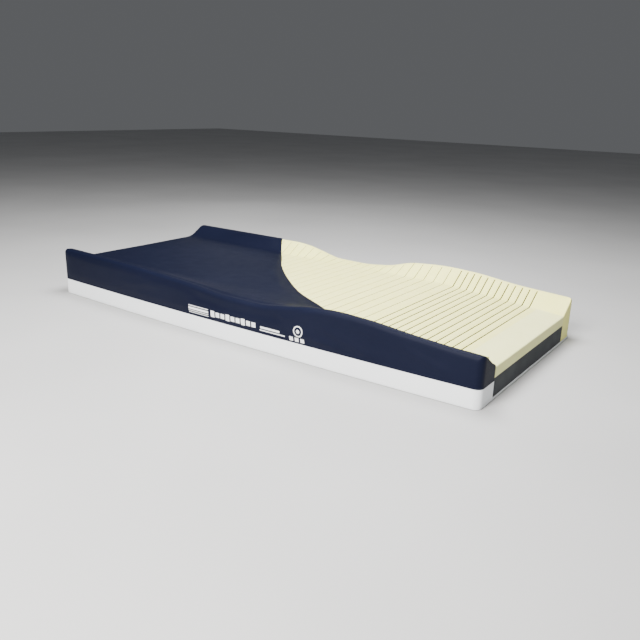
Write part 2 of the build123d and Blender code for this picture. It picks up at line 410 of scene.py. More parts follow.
def fabric_material(name, base, tint, roughness, specular, pitch, sheen):
    """Coated stretch fabric: fine weave, faint unevenness and, where asked, a soft sheen."""
    material, tree, shader, place = new_material(name, base, roughness, specular)
    cloud = noise_texture(tree, place, 3.2, 4.0)
    colour = colour_ramp(tree, cloud, ((0.32, base), (0.70, tint)))
    tree.links.new(colour, shader.inputs["Base Color"])
    rough = colour_ramp(
        tree, noise_texture(tree, place, 24.0, 3.0),
        ((0.3, (roughness - 0.02,) * 3), (0.7, (roughness + 0.02,) * 3)),
    )
    tree.links.new(rough, shader.inputs["Roughness"])
    shader.inputs["Sheen Weight"].default_value = sheen
    shader.inputs["Sheen Roughness"].default_value = 0.45
    fine = bump(tree, shader, weave(tree, place, pitch), 0.25, 0.0003)
    bump(tree, shader, noise_texture(tree, place, 9.0, 3.0), 0.10, 0.004, fine)
    return material, tree, shader, place, colour


# Printed marks on the near wall: (middle x, middle z, half width, half height)
PRINT_BARS = (
    (-0.130, 0.1065, 0.053, 0.0015), (-0.130, 0.096, 0.053, 0.0045), (-0.130, 0.086, 0.053, 0.0015),
    (-0.130, 0.079, 0.053, 0.0012), (0.226, 0.093, 0.044, 0.0040), (0.236, 0.082, 0.057, 0.0022),
) + tuple((-0.054 + 0.0255 * i, 0.0945, 0.0095, 0.0095 if i % 3 else 0.0125) for i in range(9)) + tuple(
    (0.321 + 0.024 * i, 0.081, 0.008, 0.0075) for i in range(3)
)
RING_MIDDLE = (0.352, 0.113)
RING_RADIUS = 0.018
RING_LINE = 0.0022
DOT_RADIUS = 0.007


def print_mask(tree, place):
    """1 on the printed bars and ring of the near wall, 0 elsewhere."""
    split = tree.nodes.new("ShaderNodeSeparateXYZ")
    tree.links.new(place, split.inputs["Vector"])
    x, y, z = (split.outputs[axis] for axis in "XYZ")
    total = 0.0
    for middle_x, middle_z, half_x, half_z in PRINT_BARS:
        within_x = near_to(tree, x, middle_x, half_x)
        within_z = near_to(tree, z, middle_z, half_z)
        bar = math_node(tree, "MULTIPLY", within_x, within_z)
        total = math_node(tree, "MAXIMUM", bar, total)
    aside = math_node(tree, "SUBTRACT", x, RING_MIDDLE[0])
    above = math_node(tree, "SUBTRACT", z, RING_MIDDLE[1])
    squares = [math_node(tree, "MULTIPLY", offset, offset) for offset in (aside, above)]
    distance = math_node(tree, "SQRT", math_node(tree, "ADD", *squares))
    dot = near_to(tree, distance, 0.0, DOT_RADIUS)
    ring = math_node(tree, "MAXIMUM", near_to(tree, distance, RING_RADIUS, RING_LINE), dot)
    near_wall = math_node(tree, "LESS_THAN", y, -HALF_WIDTH + WALL_BAND)
    return math_node(tree, "MULTIPLY", math_node(tree, "MAXIMUM", total, ring), near_wall)


def near_to(tree, value, middle, half):
    """1 where a value is within half of the middle, else 0."""
    made = node(tree, "ShaderNodeMath", operation="COMPARE")
    tree.links.new(value, made.inputs[0])
    made.inputs[1].default_value = middle
    made.inputs[2].default_value = half
    return made.outputs["Value"]


# ---------------------------------------------------------------- foam pieces
def slit_lines():
    """Place and width of every saw cut."""
    coarse = [FINE_START - (COARSE_COUNT - i) * COARSE_PITCH for i in range(COARSE_COUNT)]
    fine = [FINE_START + i * FINE_PITCH for i in range(round((HEEL_PAD_START - FINE_START) / FINE_PITCH))]
    lines = [(x, BACK_SLIT if x < LEG_SLIT_START else LEG_SLIT) for x in coarse]
    return lines + [(x, FINE_SLIT) for x in fine]


def stations(start, end, with_slits):
    """Cross-section places from start to end, as (x, sunk, share of the full depth of a slit)."""
    rows = []
    slits = [(x, w) for x, w in slit_lines() if start - 1e-6 <= x <= end + 1e-6] if with_slits else []
    marks = [(start, 0.0)] + [s for s in slits if start + 1e-4 < s[0] < end - 1e-4] + [(end, 0.0)]
    widths = dict((round(x, 5), w) for x, w in slits)
    for (x0, _), (x1, _) in zip(marks, marks[1:]):
        w0, w1 = widths.get(round(x0, 5), 0.0), widths.get(round(x1, 5), 0.0)
        low, high = x0 + w0 / 2, x1 - w1 / 2
        if w0:
            rows += [(low, 0.0, 1.0), (low, LIP_DROP, 0.0), (low + LIP_REACH, 0.0, 0.0)]
        steps = max(2, round((high - low) / STATION_STEP))
        inner = np.linspace(low, high, steps + 1)
        lo_cut, hi_cut = (1 if w0 else 0), (steps if w1 else steps + 1)
        for x in inner[lo_cut:hi_cut]:
            t = (x - low) / (high - low)
            rows.append((x, -CROWN * 4 * t * (1 - t) if slits else 0.0, 0.0))
        if w1:
            rows += [(high - LIP_REACH, 0.0, 0.0), (high, LIP_DROP, 0.0), (high, 0.0, 1.0)]
    return rows


def slit_reach(y):
    """Depth of a saw cut at y: full across the lying surface, running out below the crest."""
    return SLIT_DEPTH * np.clip((SLIT_END_Y - np.abs(y)) / (SLIT_END_Y - KINK_Y), 0, 1) ** 0.8


def foam_surface(x, y, sunk, cut):
    """Height of the foam at points y of one cross-section."""
    xs = np.full_like(y, x)
    z = top_height(xs, y, KINK_SOFT, CREST_SOFT) - sunk * (np.abs(y) < SLIT_END_Y)
    z = z - cut * slit_reach(y)
    return z - edge_drop(HALF_LENGTH - COVER_LIFT - abs(x), end_round(x))


def end_round(x):
    """The covered head end is rounded, the cut foot end has a crisp edge."""
    return HEAD_ROUND if x < 0 else FOOT_EDGE_ROUND


def core_ring(x, sunk, cut):
    y = np.linspace(-KINK_Y, KINK_Y, 68)
    z = foam_surface(x, y, sunk, cut)
    top = np.stack([y, z], 1)
    return np.vstack([top, [(KINK_Y, BASE_TOP), (-KINK_Y, BASE_TOP)]])


def base_ring(x, sunk, cut):
    return np.array([(-KINK_Y, BASE_TOP), (KINK_Y, BASE_TOP), (KINK_Y, FOAM_FLOOR), (-KINK_Y, FOAM_FLOOR)])


def bolster_ring(x, sunk, cut, side):
    """Slope, crest, rounded top edge and wall of a side bolster."""
    wall = HALF_WIDTH - COVER_LIFT - corner_pull(x, COVER_LIFT)
    turn = np.linspace(0, math.pi / 2, 9)
    round_y = wall - CREST_ROUND + CREST_ROUND * np.sin(turn)
    slope = np.linspace(KINK_Y, min(SLOPE_END_Y, round_y[0] - 0.001), 18)
    slope_z = foam_surface(x, side * slope, sunk, cut)
    crest = foam_surface(x, side * np.array([CREST_Y]), 0.0, 0.0)[0]
    round_z = crest - CREST_ROUND * (1 - np.cos(turn))
    wall_z = np.linspace(round_z[-1], FOAM_FLOOR, 10)[1:]
    y = np.concatenate([slope, round_y, np.full(9, wall), [KINK_Y]])
    z = np.concatenate([slope_z, round_z, wall_z, [FOAM_FLOOR]])
    return np.stack([side * y, z], 1)


def prism(name, rows, ring, material):
    """Closed foam piece: a ring of points at each station, joined, with both ends capped."""
    loops = [ring(x, sunk, cut) for x, sunk, cut in rows]
    count, size, faces = len(rows), len(loops[0]), []
    points = bow_out(np.vstack([
        np.column_stack([np.full(size, x), loop]) for (x, _, _), loop in zip(rows, loops)
    ]))
    for i in range(count - 1):
        for j in range(size):
            k = (j + 1) % size
            faces.append((i * size + j, i * size + k, (i + 1) * size + k, (i + 1) * size + j))
    faces.append(tuple(range(size)))
    faces.append(tuple(reversed(range((count - 1) * size, count * size))))
    obj = link(name, points, faces, material)
    # Share of the full saw-cut depth at each point, which the foam material turns into painted shade
    depth = [
        cut * slit_reach(loop[:, 0]) * (loop[:, 1] > BASE_TOP + 0.002)
        for (_, _, cut), loop in zip(rows, loops)
    ]
    sunk = obj.data.attributes.new("sunk", "FLOAT", "POINT")
    sunk.data.foreach_set("value", (np.concatenate(depth) / SLIT_DEPTH).astype(np.float32))
    mesh = bmesh.new()
    mesh.from_mesh(obj.data)
    caps = [f for f in mesh.faces if len(f.verts) > 4]
    bmesh.ops.triangulate(mesh, faces=caps, ngon_method="EAR_CLIP")
    mesh.to_mesh(obj.data)
    mesh.free()
    return clean(obj)


# Reach of the closer cross-sections at a rounded end, and the gap kept clear beyond them
END_REACH = 0.0345
END_GAP = 0.0015


def end_stations(rows, start, end):
    """Closer cross-sections where the rounded ends of the mattress need them."""
    head, foot = -HALF_LENGTH + COVER_LIFT, HALF_LENGTH - COVER_LIFT
    rows = [r for r in rows if head + END_REACH + END_GAP < r[0] < foot - END_REACH - END_GAP]
    steps = 1 - np.cos(np.linspace(0, math.pi / 2, 12))
    if start <= head + 0.001:
        rows = [(head + END_REACH * s, 0.0, 0.0) for s in steps] + rows
    if end >= foot - 0.001:
        rows = rows + [(foot - END_REACH * s, 0.0, 0.0) for s in steps[::-1]]
    return rows


def build_foam():
    """Slit foam, base foam and both bolsters of each part, and the heel pad."""
    cream = foam_material("cream_foam", (0.97, 0.94, 0.37), (0.94, 0.91, 0.33))
    side_cream = foam_material("bolster_foam", (0.98, 0.96, 0.36), (0.95, 0.93, 0.32))
    grey_cream = foam_material("heel_foam", (0.93, 0.93, 0.46), (0.90, 0.90, 0.42))
    # Dark grey base layer: partly a guess at a firm base foam, and partly painted shade for the foot end face
    painted_shade_charcoal = foam_material("base_foam", (0.075, 0.08, 0.085), (0.055, 0.06, 0.065))
    head, foot = -HALF_LENGTH + COVER_LIFT, HALF_LENGTH - COVER_LIFT
    for part in PARTS:
        _, _, start, end, _, _ = SPANS[part]
        start, end = max(start, head), min(end, foot)
        slit_end = min(end, HEEL_PAD_START)
        slit_rows = stations(start, slit_end, True)
        plain_rows = stations(slit_end, end, False)[1:] if end > HEEL_PAD_START else []
        pieces = [
            ("slit_foam", end_stations(slit_rows, start, slit_end), core_ring, cream),
            ("base_foam", end_stations(stations(start, end, False), start, end), base_ring, painted_shade_charcoal),
        ]
        side_rows = end_stations(slit_rows + plain_rows, start, end)
        for stem, side in (("near_bolster", -1), ("far_bolster", 1)):
            pieces.append((stem, side_rows, partial(bolster_ring, side=side), side_cream))
        for stem, rows, ring, material in pieces:
            piece = prism(f"{stem}_{part}_foam", rows, ring, material)
            settle(piece, part, stem, stem if stem.endswith("foam") else "bolster_foam")
        if part == "foot":
            heel_rows = end_stations(stations(HEEL_PAD_START, end, False), HEEL_PAD_START, end)
            heel = prism("heel_pad_foam", heel_rows, core_ring, grey_cream)
            remember_rest(heel)
            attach(heel, "calf_section")
            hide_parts("heel_pad")


# ---------------------------------------------------------------- covers
def grid_lines(low, high, step, extra=()):
    """Even lines from low to high that also pass through the extra places."""
    marks = sorted([low, high, *[x for x in extra if low < x < high]])
    lines = [low]
    for a, b in zip(marks, marks[1:]):
        lines += list(np.linspace(a, b, max(1, round((b - a) / step)) + 1)[1:])
    return np.array(lines)


def wrapped_sheet(step, surface, radius, wall_levels, wall_shape):
    """Sheet over (or under) the block that turns down its walls, as points and faces.

    surface gives the height of the flat part, radius rounds its edge, wall_levels are the
    heights down the wall as fractions, and wall_shape turns a fraction into a height."""
    border = GRID_INSET
    foot_radius = min(radius, FOOT_ROUND)
    xs = grid_lines(-HALF_LENGTH + border, HALF_LENGTH - border, step, (FOLD_SEAT, FOLD_THIGH))
    ys = grid_lines(-HALF_WIDTH + border, HALF_WIDTH - border, step * 0.9)
    nx, ny = len(xs), len(ys)
    gx, gy = np.meshgrid(xs, ys, indexing="ij")
    points = [np.column_stack([gx.ravel(), gy.ravel(), surface(gx, gy).ravel()])]
    faces = [
        (i * ny + j, (i + 1) * ny + j, (i + 1) * ny + j + 1, i * ny + j + 1)
        for i in range(nx - 1) for j in range(ny - 1)
    ]
    inner, outer = perimeter(xs, ys, border)
    base, rings = nx * ny, []
    to_foot = smooth_step(outer[:, 0], HALF_LENGTH - CORNER_RADIUS, HALF_LENGTH)
    radius = radius + (foot_radius - radius) * to_foot
    turn = np.linspace(0, math.pi / 2, 8)[1:]
    insets = [(border - r * (border - radius), 0.0) for r in (0.5, 1.0)]
    insets += [(radius * (1 - math.sin(a)), radius * (1 - math.cos(a))) for a in turn]
    start = np.array([points[0][k] for k in inner])
    for inset, drop in insets:
        share = (1 - inset / border)[:, None]
        plan = start[:, :2] * (1 - share) + outer * share
        z = surface(plan[:, 0], plan[:, 1])
        rings.append(np.column_stack([plan, wall_shape(z, drop, 0.0)]))
    edge_z = surface(outer[:, 0], outer[:, 1])
    for level in wall_levels:
        rings.append(np.column_stack([outer, wall_shape(edge_z, radius, level)]))
    count = len(outer)
    for k, ring in enumerate(rings):
        points.append(ring)
        before = inner if k == 0 else [base + (k - 1) * count + i for i in range(count)]
        here = [base + k * count + i for i in range(count)]
        for i in range(count):
            j = (i + 1) % count
            corners = (before[i], here[i], here[j], before[j])
            faces.append(tuple(dict.fromkeys(corners)))
    return np.vstack(points), faces


def perimeter(xs, ys, border):
    """Grid point and wall point of each place round the edge, in order, with fans at the corners."""
    nx, ny = len(xs), len(ys)
    inner, outer = [], []
    sides = [
        ([(i, 0) for i in range(nx)], (0, -1), -90),
        ([(nx - 1, j) for j in range(ny)], (1, 0), 0),
        ([(i, ny - 1) for i in reversed(range(nx))], (0, 1), 90),
        ([(0, j) for j in reversed(range(ny))], (-1, 0), 180),
    ]
    for cells, normal, angle in sides:
        for i, j in cells:
            inner.append(i * ny + j)
            outer.append((xs[i] + normal[0] * border, ys[j] + normal[1] * border))
        i, j = cells[-1]
        corner = np.array([math.copysign(HALF_LENGTH - CORNER_RADIUS, xs[i]),
                           math.copysign(HALF_WIDTH - CORNER_RADIUS, ys[j])])
        for turn in np.linspace(0, 90, 12)[1:-1]:
            direction = math.radians(angle + turn)
            inner.append(i * ny + j)
            outer.append(tuple(corner + CORNER_RADIUS * np.array([math.cos(direction), math.sin(direction)])))
    return inner, np.array(outer)


def cut_by_field(points, faces, field):
    """Cut a mesh where a field over its points crosses zero, and drop the positive side."""
    mesh = bmesh.new()
    verts = [mesh.verts.new(p) for p in points]
    for face in faces:
        mesh.faces.new([verts[i] for i in face])
    value = {v: f for v, f in zip(verts, field)}
    crossing = [e for e in mesh.edges if value[e.verts[0]] * value[e.verts[1]] < 0]
    new = set()
    for edge in crossing:
        a, b = edge.verts
        fraction = value[a] / (value[a] - value[b])
        _, vert = bmesh.utils.edge_split(edge, a, fraction)
        value[vert] = 0.0
        new.add(vert)
    for face in list(mesh.faces):
        ends = [v for v in face.verts if v in new]
        if len(ends) == 2 and not mesh.edges.get(ends):
            bmesh.utils.face_split(face, *ends)
    gone = [f for f in mesh.faces if max(value[v] for v in f.verts) > 1e-9]
    bmesh.ops.delete(mesh, geom=gone, context="FACES")
    bmesh.ops.delete(mesh, geom=[v for v in mesh.verts if not v.link_faces], context="VERTS")
    mesh.verts.index_update()
    kept = np.array([v.co[:] for v in mesh.verts])
    kept_faces = [tuple(v.index for v in f.verts) for f in mesh.faces]
    mesh.free()
    return kept, kept_faces


def top_cut_field(points):
    """Positive where the top cover is cut away."""
    x, y = points[:, 0], points[:, 1]
    line = smooth_line(CUT_EDGE, x)
    slant = np.abs(smooth_line(CUT_EDGE, x + 0.002) - line) / 0.002
    top = (y - line) / np.sqrt(1 + slant**2)
    top = np.where(x < CUT_EDGE[0][0], -1.0, top)
    foot_edge = HALF_LENGTH - 0.005
    return np.minimum(top, np.maximum(y - FOOT_CUT_Y, foot_edge - x))


def bottom_cut_field(points):
    """Positive where the border of the bottom cover is cut away."""
    x, y, z = points.T
    far = np.minimum(x - CUT_FAR_X + 0.006, y - (HALF_WIDTH - 0.02))
    foot = np.minimum(x - (HALF_LENGTH - 0.02), y - FOOT_CUT_Y)
    return np.minimum(np.maximum(far, foot), z - FAR_LIP)


def stretch_creases(points):
    """Soft pulls in the stretch fabric of the near side, as an outward distance."""
    x, _, z = points.T
    pulls = (
        (0.44, 0.150, 0.66, 0.085, 0.012, 0.0040),
        (0.50, 0.175, 0.72, 0.120, 0.010, -0.0014),
        (0.30, 0.120, 0.56, 0.080, 0.014, 0.0034),
        (0.74, 0.150, 0.93, 0.090, 0.014, 0.0030),
        (-0.62, 0.120, -0.30, 0.160, 0.016, 0.0024),
        (-0.20, 0.150, 0.10, 0.110, 0.018, -0.0014),
    )
    total = np.zeros(len(x))
    for x0, z0, x1, z1, width, height in pulls:
        dx, dz = x1 - x0, z1 - z0
        length = math.hypot(dx, dz)
        along = ((x - x0) * dx + (z - z0) * dz) / length
        aside = ((z - z0) * dx - (x - x0) * dz) / length
        ends = smooth_step(along, -0.02, length * 0.3) * (1 - smooth_step(along, length * 0.7, length + 0.02))
        total += height * ends * np.exp(-((aside / width) ** 2))
    return total


def hem_creases(points):
    """Soft upright pulls in the white border, closest together beside the foot corner."""
    x, _, z = points.T
    pulls = (
        (0.995, 0.004, 0.0016), (0.975, 0.005, 0.0012), (0.950, 0.006, 0.0010), (0.905, 0.012, 0.0012),
        (0.620, 0.030, 0.0014), (0.240, 0.045, 0.0016), (-0.180, 0.040, 0.0014), (-0.640, 0.050, 0.0014),
    )
    total = sum(height * np.exp(-(((x - middle) / width) ** 2)) for middle, width, height in pulls)
    return total * np.sin(np.pi * np.clip(z / SEAM, 0, 1))


def turn_outwards(obj, core_height):
    """Turn the faces of a sheet over the block away from a point inside the block."""
    mesh = bmesh.new()
    mesh.from_mesh(obj.data)
    bmesh.ops.recalc_face_normals(mesh, faces=mesh.faces)
    core = Vector((0, 0, core_height))
    facing = sum((f.calc_center_median() - core).dot(f.normal) * f.calc_area() for f in mesh.faces)
    if facing < 0:
        bmesh.ops.reverse_faces(mesh, faces=mesh.faces)
    mesh.to_mesh(obj.data)
    mesh.free()


def puff(points, faces, cap, pressure):
    """Swell the cover by cloth simulation, outwards only, and not along its hem or its cut edge.

    The simulated movement is mostly far more than the cap, so the cap decides most of the shape:
    a nearly even lift of the top, and none where the simulation moves inwards."""
    obj = link("cover_puff", points, faces, bpy.data.materials["navy_fabric"])
    turn_outwards(obj, SEAM)
    normals = np.array([v.normal[:] for v in obj.data.vertices])
    held = obj.vertex_groups.new(name="held")
    held.add(np.flatnonzero(points[:, 2] < SEAM + 0.004).tolist(), 1.0, "REPLACE")
    cloth = obj.modifiers.new("puff", "CLOTH")
    settings = cloth.settings
    settings.vertex_group_mass = "held"
    settings.quality = 4
    settings.mass = 0.3
    settings.tension_stiffness = 12
    settings.compression_stiffness = 12
    settings.shear_stiffness = 6
    settings.bending_stiffness = 0.6
    settings.use_pressure = True
    settings.uniform_pressure_force = pressure
    settings.effector_weights.gravity = 0
    cloth.collision_settings.use_collision = False
    scene = bpy.context.scene
    for step in range(1, 21):
        scene.frame_set(step)
    result = obj.evaluated_get(bpy.context.evaluated_depsgraph_get()).data
    swollen = np.array([v.co[:] for v in result.vertices])
    scene.frame_set(1)
    bpy.data.objects.remove(obj)
    outward = np.clip(((swollen - points) * normals).sum(1), 0, None)
    outward = cap * np.tanh(outward / cap)
    outward *= smooth_step(-top_cut_field(points), 0.0, 0.06) * smooth_step(points[:, 2], SEAM, SEAM + 0.03)
    return points + normals * outward[:, None]


def part_masks(points, faces):
    """Which faces belong to each of the three parts along the mattress."""
    middle = np.array([np.mean([points[i][0] for i in f]) for f in faces])
    bounds = {"back": (-9, FOLD_SEAT), "middle": (FOLD_SEAT, FOLD_THIGH), "foot": (FOLD_THIGH, 9)}
    return {part: np.flatnonzero((middle >= low) & (middle < high)) for part, (low, high) in bounds.items()}


def finish_sheet(name, points, faces, chosen, material, thickness):
    """Make one part of a cover from the chosen faces, with thickness inwards."""
    used = sorted({i for k in chosen for i in faces[k]})
    index = {old: new for new, old in enumerate(used)}
    obj = link(name, points[used], [tuple(index[i] for i in faces[k]) for k in chosen], material)
    turn_outwards(obj, SHEET_CORE)
    solid = obj.modifiers.new("thickness", "SOLIDIFY")
    solid.thickness = thickness
    solid.offset = -1
    solid.use_even_offset = True
    apply_modifiers(obj)
    obj.data.shade_smooth()
    obj.data.set_sharp_from_angle(angle=math.radians(50))
    return obj


def top_pattern(x):
    """Flat width of the top cover at x: near wall, over the top, as far as the cut or the far seam."""
    reach = HALF_WIDTH if x < CUT_EDGE[0][0] else min(float(smooth_line(CUT_EDGE, np.array(x))), HALF_WIDTH)
    y = np.linspace(-HALF_WIDTH, reach, 300)
    z = cover_height(np.full_like(y, x), y)
    saved = (2 - math.pi / 2) * CREST_ROUND
    width = np.hypot(np.diff(y), np.diff(z)).sum() + z[0] - SEAM - saved
    return width + (z[-1] - SEAM - saved if reach >= HALF_WIDTH else 0)


def bottom_pattern(x):
    """Flat width of the bottom cover at x: the underside with one or both of its walls."""
    far_wall = SEAM if x < CUT_FAR_X else FAR_LIP
    return 2 * HALF_WIDTH + SEAM + far_wall


def end_pattern(part, top):
    """Flat area of the end wall that belongs to a part."""
    if part == "middle":
        return 0.0
    x = -HALF_LENGTH if part == "back" else HALF_LENGTH
    y = np.linspace(-HALF_WIDTH, HALF_WIDTH if part == "back" else FOOT_CUT_Y, 200)
    tall = cover_height(np.full_like(y, x), y) - SEAM if top else np.full_like(y, SEAM)
    rest = 0.0 if top or part == "back" else FAR_LIP * (HALF_WIDTH - FOOT_CUT_Y)
    return float(np.sum((tall[1:] + tall[:-1]) / 2 * np.diff(y))) + rest


def declare_sheet(part, top):
    """Work out the flat area of a cover's cut from the section of the mattress; the area is not kept."""
    _, _, start, end, _, _ = SPANS[part]
    x = np.linspace(start, end, 120)
    widths = np.array([(top_pattern if top else bottom_pattern)(v) for v in x])
    area = float(np.sum((widths[1:] + widths[:-1]) / 2 * np.diff(x))) + end_pattern(part, top)


def build_top_cover(material):
    """Navy stretch cover, swollen, creased on its near side and cut away."""
    def wall_shape(z, drop, level):
        top = z - drop
        return top + (SEAM - top) * level

    levels = np.linspace(0, 1, 13)[1:]
    points, faces = wrapped_sheet(SHEET_STEP, cover_height, CREST_ROUND, levels, wall_shape)
    points = puff(points, faces, PUFF_CAP, PUFF_PRESSURE)
    _, y, z = points.T
    near_wall = (y < -HALF_WIDTH + WALL_BAND) & (z > SEAM + 0.002)
    points[:, 1] -= np.where(near_wall, stretch_creases(points) * smooth_step(z, SEAM, SEAM + 0.02), 0)
    points, faces = cut_by_field(points, faces, top_cut_field(points))
    points = bow_out(points)
    for part, chosen in part_masks(points, faces).items():
        obj = finish_sheet(f"top_cover_{part}_fabric", points, faces, chosen, material, FABRIC)
        settle(obj, part, "top_cover", "navy_stretch_fabric")
        declare_sheet(part, True)


def build_bottom_cover(material):
    """White coated cover: the sheet under the mattress and its border up to the seam."""
    def surface(x, y):
        return np.zeros_like(x)

    def wall_shape(z, drop, level):
        top = z + drop
        return top + (SEAM - SEAM_GAP - top) * level

    levels = np.linspace(0, 1, 7)[1:]
    points, faces = wrapped_sheet(SHEET_STEP, surface, HEM_ROUND, levels, wall_shape)
    points[:, 1] -= np.where(points[:, 1] < -HALF_WIDTH + 0.001, hem_creases(points), 0)
    points, faces = cut_by_field(points, faces, bottom_cut_field(points))
    points = bow_out(points)
    for part, chosen in part_masks(points, faces).items():
        obj = finish_sheet(f"bottom_cover_{part}_fabric", points, faces, chosen, material, BOTTOM_FABRIC)
        settle(obj, part, "bottom_cover", "white_coated_fabric")
        declare_sheet(part, False)


# ---------------------------------------------------------------- stitching
# Stitches: pitch, length, half thickness, and height above the seam
STITCH_PITCH = 0.0045
STITCH_LENGTH = 0.0030
STITCH_HALF = 0.0004
STITCH_HEIGHT = 0.0045


def seam_route():
    """Wall outline from the far cut round the head end and along the near side to the foot corner."""
    flat_x, flat_y = HALF_LENGTH - CORNER_RADIUS, HALF_WIDTH - CORNER_RADIUS
    turn = np.radians(np.linspace(0, 90, 16))
    corner = CORNER_RADIUS * np.column_stack([np.cos(turn), np.sin(turn)])
    far_head = corner[::-1] * (-1, 1) + (-flat_x, flat_y)
    near_head = corner * (-1, -1) + (-flat_x, -flat_y)
    near_foot = corner[::-1] * (1, -1) + (flat_x, -flat_y)
    return np.vstack([[(CUT_FAR_X - 0.02, HALF_WIDTH)], far_head, near_head, near_foot,
                      [(HALF_LENGTH, FOOT_CUT_Y)]])


def build_stitching():
    """One row of lock stitches just above the seam that joins the two covers."""
    thread, tree, shader, place = new_material("seam_thread", (0.012, 0.016, 0.040), 0.6, 0.2)
    tint_by_noise(tree, shader, place, 500.0, (0.010, 0.013, 0.034), (0.018, 0.023, 0.052))
    route = seam_route()
    reach = np.concatenate([[0], np.cumsum(np.hypot(*np.diff(route, axis=0).T))])
    starts = np.arange(0.004, reach[-1] - STITCH_PITCH, STITCH_PITCH)
    marks = np.concatenate([starts, starts + STITCH_LENGTH / 2, starts + STITCH_LENGTH])
    plan = np.column_stack([np.interp(marks, reach, route[:, k]) for k in (0, 1)])
    plan = plan.reshape(3, len(starts), 2)
    for part in PARTS:
        _, _, low, high, _, _ = SPANS[part]
        points, faces = [], []
        for first, middle, last in plan.transpose(1, 0, 2):
            if low <= middle[0] < high:
                add_stitch(points, faces, first, middle, last)
        stitches = clean(link(f"seam_stitches_{part}", bow_out(np.array(points)), faces, thread), merge=1e-6)
        settle(stitches, part, "top_cover", "navy_stretch_fabric")


def add_stitch(points, faces, first, middle, last):
    """A short thread that dips into the fabric at both ends."""
    along = (last - first) / np.linalg.norm(last - first)
    out = np.array([along[1], -along[0]])
    if out @ middle < 0:
        out = -out
    start = len(points)
    for place, rise in ((first, -STITCH_HALF), (middle, STITCH_HALF), (last, -STITCH_HALF)):
        for aside, above in ((1, 0), (0, 1), (-1, 0), (0, -1)):
            x, y = place + out * (rise + aside * STITCH_HALF)
            points.append((x, y, SEAM + STITCH_HEIGHT + above * STITCH_HALF))
    for ring in (0, 4):
        for i in range(4):
            j = (i + 1) % 4
            faces.append((start + ring + i, start + ring + j, start + ring + 4 + j, start + ring + 4 + i))
    faces += [tuple(start + i for i in (3, 2, 1, 0)), tuple(start + 8 + i for i in range(4))]


# ---------------------------------------------------------------- zip
# Zip teeth: pitch, length, and how far they reach past the middle of the zip
TOOTH_PITCH = 0.0025
TOOTH_LENGTH = 0.0016
TOOTH_REACH = 0.0007


def tooth(x, low, high, back, front):
    """One loop of the coil, seen as a small pillow that narrows to its ends."""
    half, middle = TOOTH_LENGTH / 2, (back + front) / 2
    rings = [(low, 0.55), (low + (high - low) * 0.25, 1.0), (low + (high - low) * 0.75, 1.0), (high, 0.55)]
    turns = np.linspace(0, 2 * math.pi, 9)[:-1]
    points = [
        (x + half * size * math.cos(a), middle + (front - back) / 2 * size * math.sin(a), z)
        for z, size in rings for a in turns
    ]
    faces = [
        (r * 8 + i, r * 8 + (i + 1) % 8, (r + 1) * 8 + (i + 1) % 8, (r + 1) * 8 + i)
        for r in range(3) for i in range(8)
    ]
    return points, faces + [tuple(reversed(range(8))), tuple(range(24, 32))]


def build_coil(row, side, material):
    """Teeth of one zip half, which reach past the seam between the teeth of the other."""
    low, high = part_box(f"zip_{row}_coil")
    if side > 0:
        z_low, z_high = low.z - TOOTH_REACH, high.z
    else:
        z_low, z_high = low.z, high.z + TOOTH_REACH
    first = low.x + TOOTH_PITCH * (0.75 if side > 0 else 1.25)
    points, faces = [], []
    for x in np.arange(first, high.x - TOOTH_LENGTH, TOOTH_PITCH):
        more, sides = tooth(x, z_low, z_high, low.y, high.y)
        faces += [tuple(len(points) + i for i in side_face) for side_face in sides]
        points += more
    coil = clean(link(f"zip_{row}_coil_teeth", points, faces, material), merge=1e-6, sharp=60)
    remember_rest(coil)
    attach(coil, "back_section")
    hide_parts(f"zip_{row}_coil")


def build_tape(row, material):
    """Woven tape beside the teeth, with a slightly raised cord along its inner edge."""
    low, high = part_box(f"zip_{row}_tape")
    inner, outer = (low.z, high.z) if row == "upper" else (high.z, low.z)
    profile = [(0.00, 0.30), (0.02, 0.75), (0.06, 1.0), (0.14, 1.0), (0.20, 0.62), (0.94, 0.62), (1.0, 0.30)]
    xs = np.linspace(low.x, high.x, 80)
    ring = [(high.y - (1 - h) * (high.y - low.y), inner + (outer - inner) * t) for t, h in profile]
    ring += [(low.y, outer), (low.y, inner)]
    size = len(ring)
    points = [(x, y, z) for x in xs for y, z in ring]
    faces = [
        (i * size + j, i * size + (j + 1) % size, (i + 1) * size + (j + 1) % size, (i + 1) * size + j)
        for i in range(len(xs) - 1) for j in range(size)
    ]
    faces += [tuple(range(size)), tuple(reversed(range((len(xs) - 1) * size, len(xs) * size)))]
    tape = clean(link(f"zip_{row}_tape_weave", points, faces, material), merge=1e-6)
    remember_rest(tape)
    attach(tape, "back_section")
    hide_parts(f"zip_{row}_tape")


def build_zip():
    coil, tree, shader, place = new_material("zip_coil_plastic", (0.010, 0.013, 0.030), 0.35, 0.5)
    tint_by_noise(tree, shader, place, 300.0, (0.008, 0.010, 0.024), (0.014, 0.018, 0.040))
    bump(tree, shader, noise_texture(tree, place, 900.0), 0.15, 0.0002)
    woven = fabric_material(
        "zip_tape_fabric", (0.010, 0.013, 0.032), (0.014, 0.018, 0.040), 0.75, 0.15, 0.0012, 0.1
    )[0]
    for row, side in (("upper", 1), ("lower", -1)):
        build_coil(row, side, coil)
        build_tape(row, woven)
    metal = metal_material()
    for name in ("zip_stop", "zip_slider", "zip_pull"):
        for material_slot in frame["nodes"][name].material_slots:
            material_slot.material = metal


